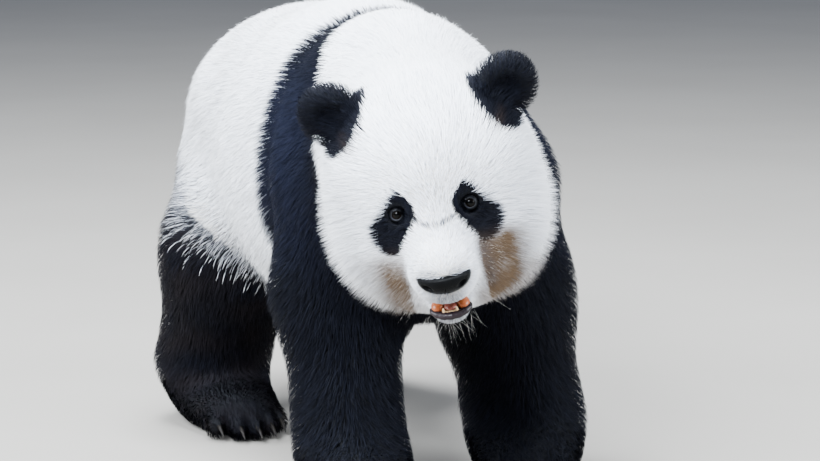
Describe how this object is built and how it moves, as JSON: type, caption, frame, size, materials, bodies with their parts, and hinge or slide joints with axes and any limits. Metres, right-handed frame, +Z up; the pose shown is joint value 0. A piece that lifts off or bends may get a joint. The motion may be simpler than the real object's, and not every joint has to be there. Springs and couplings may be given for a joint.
{
  "type": "giant panda figure",
  "caption": "Life-size standing giant panda with a black and white coat, head turned to its right, mouth slightly open, feet flat on the floor.",
  "frame": {"origin": "on the floor, under the middle of the animal's bounding box", "axes": "+Z up, the animal faces -Y, its own left side is towards +X"},
  "size_m": [0.6178, 1.5174, 0.7846],
  "materials": {
    "white_coat": "dense white fur, faintly cream in the shade",
    "black_coat": "dense blue-black fur",
    "nose": "moist pebbled nose pad",
    "eyes": "wet dark brown eye",
    "mouth": "moist tongue and gum",
    "claws": "smooth horn"
  },
  "bodies": {
    "root": {"trunk": "white_coat", "shoulders": "black_coat", "neck": "white_coat", "head": "white_coat", "eye_right": "eyes", "eye_left": "eyes", "ear_right": "black_coat", "ear_left": "black_coat", "lower_jaw": "white_coat", "tongue": "mouth", "nose": "nose", "tail": "white_coat", "foreleg_right_upper": "black_coat", "foreleg_right_forearm": "black_coat", "foreleg_right_paw": "black_coat", "foreleg_right_claw_1": "claws", "foreleg_right_claw_2": "claws", "foreleg_right_claw_3": "claws", "foreleg_right_claw_4": "claws", "foreleg_right_claw_5": "claws", "foreleg_left_upper": "black_coat", "foreleg_left_forearm": "black_coat", "foreleg_left_paw": "black_coat", "foreleg_left_claw_1": "claws", "foreleg_left_claw_2": "claws", "foreleg_left_claw_3": "claws", "foreleg_left_claw_4": "claws", "foreleg_left_claw_5": "claws", "hindleg_right_thigh": "black_coat", "hindleg_right_shank": "black_coat", "hindleg_right_paw": "black_coat", "hindleg_right_claw_1": "claws", "hindleg_right_claw_2": "claws", "hindleg_right_claw_3": "claws", "hindleg_right_claw_4": "claws", "hindleg_right_claw_5": "claws", "hindleg_left_thigh": "black_coat", "hindleg_left_shank": "black_coat", "hindleg_left_paw": "black_coat", "hindleg_left_claw_1": "claws", "hindleg_left_claw_2": "claws", "hindleg_left_claw_3": "claws", "hindleg_left_claw_4": "claws", "hindleg_left_claw_5": "claws"}
  },
  "joints": []
}
